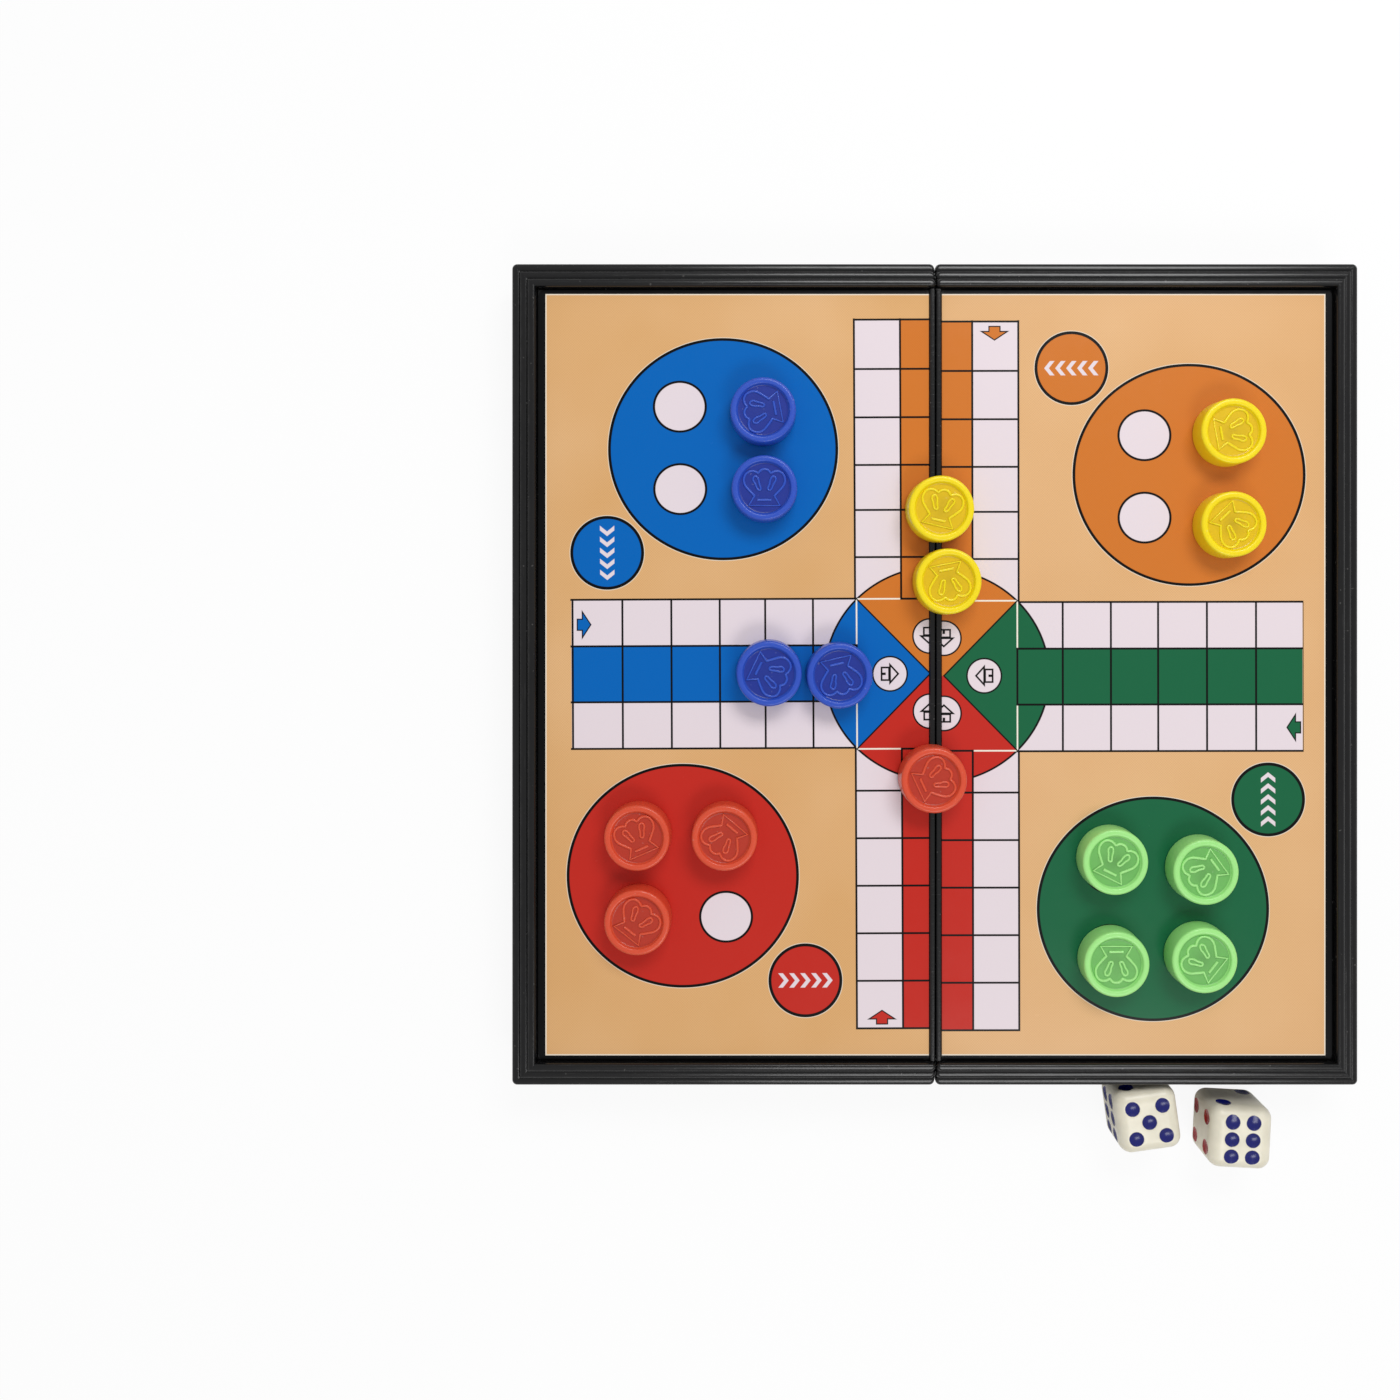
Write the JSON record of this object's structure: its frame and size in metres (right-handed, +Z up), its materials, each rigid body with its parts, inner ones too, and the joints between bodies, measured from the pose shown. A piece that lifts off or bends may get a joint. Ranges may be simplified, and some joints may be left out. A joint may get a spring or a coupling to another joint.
{
  "type": "folding board game box",
  "caption": "Two hinged hollow trays that open flat into a framed magnetic board for a four-player race game and fold into a storage box.",
  "frame": {"origin": "on the table, under the middle of the seam between the two open trays", "axes": "+X towards the right-hand tray, +Y away from the player along the seam, +Z up out of the playing surface"},
  "size_m": [0.2008, 0.216, 0.0231],
  "materials": {
    "tray_plastic": "semi-gloss moulded black plastic",
    "link_plastic": "moulded black plastic",
    "pin_steel": "drawn steel wire",
    "steel_sheet": "tinplate",
    "left_printed_sheet": "printed paper under a glossy film",
    "right_printed_sheet": "printed paper under a glossy film",
    "blue_plastic": "glossy moulded plastic",
    "yellow_plastic": "glossy moulded plastic",
    "red_plastic": "glossy moulded plastic",
    "green_plastic": "glossy moulded plastic",
    "magnet": "rubber-bonded ferrite",
    "die_plastic": "polished white plastic"
  },
  "bodies": {
    "left_tray": {"left_tray": "tray_plastic", "left_steel_plate": "steel_sheet", "left_play_sheet": "left_printed_sheet", "left_hinge_pin_front": "pin_steel", "left_hinge_pin_rear": "pin_steel"},
    "right_tray": {"right_tray": "tray_plastic", "right_steel_plate": "steel_sheet", "right_play_sheet": "right_printed_sheet", "right_hinge_pin_front": "pin_steel", "right_hinge_pin_rear": "pin_steel"},
    "hinge_links": {"hinge_link_front": "link_plastic", "hinge_link_rear": "link_plastic"},
    "blue_counter_1": {"blue_counter_1": "blue_plastic", "blue_counter_1_magnet": "magnet"},
    "blue_counter_2": {"blue_counter_2": "blue_plastic", "blue_counter_2_magnet": "magnet"},
    "blue_counter_3": {"blue_counter_3": "blue_plastic", "blue_counter_3_magnet": "magnet"},
    "blue_counter_4": {"blue_counter_4": "blue_plastic", "blue_counter_4_magnet": "magnet"},
    "yellow_counter_1": {"yellow_counter_1": "yellow_plastic", "yellow_counter_1_magnet": "magnet"},
    "yellow_counter_2": {"yellow_counter_2": "yellow_plastic", "yellow_counter_2_magnet": "magnet"},
    "yellow_counter_3": {"yellow_counter_3": "yellow_plastic", "yellow_counter_3_magnet": "magnet"},
    "yellow_counter_4": {"yellow_counter_4": "yellow_plastic", "yellow_counter_4_magnet": "magnet"},
    "red_counter_1": {"red_counter_1": "red_plastic", "red_counter_1_magnet": "magnet"},
    "red_counter_2": {"red_counter_2": "red_plastic", "red_counter_2_magnet": "magnet"},
    "red_counter_3": {"red_counter_3": "red_plastic", "red_counter_3_magnet": "magnet"},
    "red_counter_4": {"red_counter_4": "red_plastic", "red_counter_4_magnet": "magnet"},
    "green_counter_1": {"green_counter_1": "green_plastic", "green_counter_1_magnet": "magnet"},
    "green_counter_2": {"green_counter_2": "green_plastic", "green_counter_2_magnet": "magnet"},
    "green_counter_3": {"green_counter_3": "green_plastic", "green_counter_3_magnet": "magnet"},
    "green_counter_4": {"green_counter_4": "green_plastic", "green_counter_4_magnet": "magnet"},
    "left_die": {"left_die": "die_plastic"},
    "right_die": {"right_die": "die_plastic"}
  },
  "joints": [
    {"name": "board_fold", "type": "hinge", "parent": "hinge_links", "child": "right_tray", "pos_m": [0.003, 0, 0.0029], "axis": [0, 1, 0], "range_deg": [0, 90]},
    {"name": "board_fold_link", "type": "hinge", "parent": "left_tray", "child": "hinge_links", "pos_m": [-0.003, 0, 0.0029], "axis": [0, 1, 0], "range_deg": [0, 90]},
    {"name": "lift_blue_counter_1", "type": "slide", "parent": "left_tray", "child": "blue_counter_1", "axis": [0, 0, 1], "range_m": [0, 0.012]},
    {"name": "lift_blue_counter_2", "type": "slide", "parent": "left_tray", "child": "blue_counter_2", "axis": [0, 0, 1], "range_m": [0, 0.012]},
    {"name": "lift_blue_counter_3", "type": "slide", "parent": "left_tray", "child": "blue_counter_3", "axis": [0, 0, 1], "range_m": [0, 0.012]},
    {"name": "lift_blue_counter_4", "type": "slide", "parent": "left_tray", "child": "blue_counter_4", "axis": [0, 0, 1], "range_m": [0, 0.012]},
    {"name": "lift_yellow_counter_1", "type": "slide", "parent": "right_tray", "child": "yellow_counter_1", "axis": [0, 0, 1], "range_m": [0, 0.012]},
    {"name": "lift_yellow_counter_2", "type": "slide", "parent": "right_tray", "child": "yellow_counter_2", "axis": [0, 0, 1], "range_m": [0, 0.012]},
    {"name": "lift_yellow_counter_3", "type": "slide", "parent": "left_tray", "child": "yellow_counter_3", "axis": [0, 0, 1], "range_m": [0, 0.012]},
    {"name": "lift_yellow_counter_4", "type": "slide", "parent": "left_tray", "child": "yellow_counter_4", "axis": [0, 0, 1], "range_m": [0, 0.012]},
    {"name": "lift_red_counter_1", "type": "slide", "parent": "left_tray", "child": "red_counter_1", "axis": [0, 0, 1], "range_m": [0, 0.012]},
    {"name": "lift_red_counter_2", "type": "slide", "parent": "left_tray", "child": "red_counter_2", "axis": [0, 0, 1], "range_m": [0, 0.012]},
    {"name": "lift_red_counter_3", "type": "slide", "parent": "left_tray", "child": "red_counter_3", "axis": [0, 0, 1], "range_m": [0, 0.012]},
    {"name": "lift_red_counter_4", "type": "slide", "parent": "left_tray", "child": "red_counter_4", "axis": [0, 0, 1], "range_m": [0, 0.012]},
    {"name": "lift_green_counter_1", "type": "slide", "parent": "right_tray", "child": "green_counter_1", "axis": [0, 0, 1], "range_m": [0, 0.012]},
    {"name": "lift_green_counter_2", "type": "slide", "parent": "right_tray", "child": "green_counter_2", "axis": [0, 0, 1], "range_m": [0, 0.012]},
    {"name": "lift_green_counter_3", "type": "slide", "parent": "right_tray", "child": "green_counter_3", "axis": [0, 0, 1], "range_m": [0, 0.012]},
    {"name": "lift_green_counter_4", "type": "slide", "parent": "right_tray", "child": "green_counter_4", "axis": [0, 0, 1], "range_m": [0, 0.012]},
    {"name": "lift_left_die", "type": "slide", "parent": "left_tray", "child": "left_die", "axis": [0, 0, 1], "range_m": [0, 0.03]},
    {"name": "lift_right_die", "type": "slide", "parent": "left_tray", "child": "right_die", "axis": [0, 0, 1], "range_m": [0, 0.03]}
  ],
  "couplings": [
    {"joint": "board_fold_link", "follows": "board_fold", "ratio": 1}
  ]
}
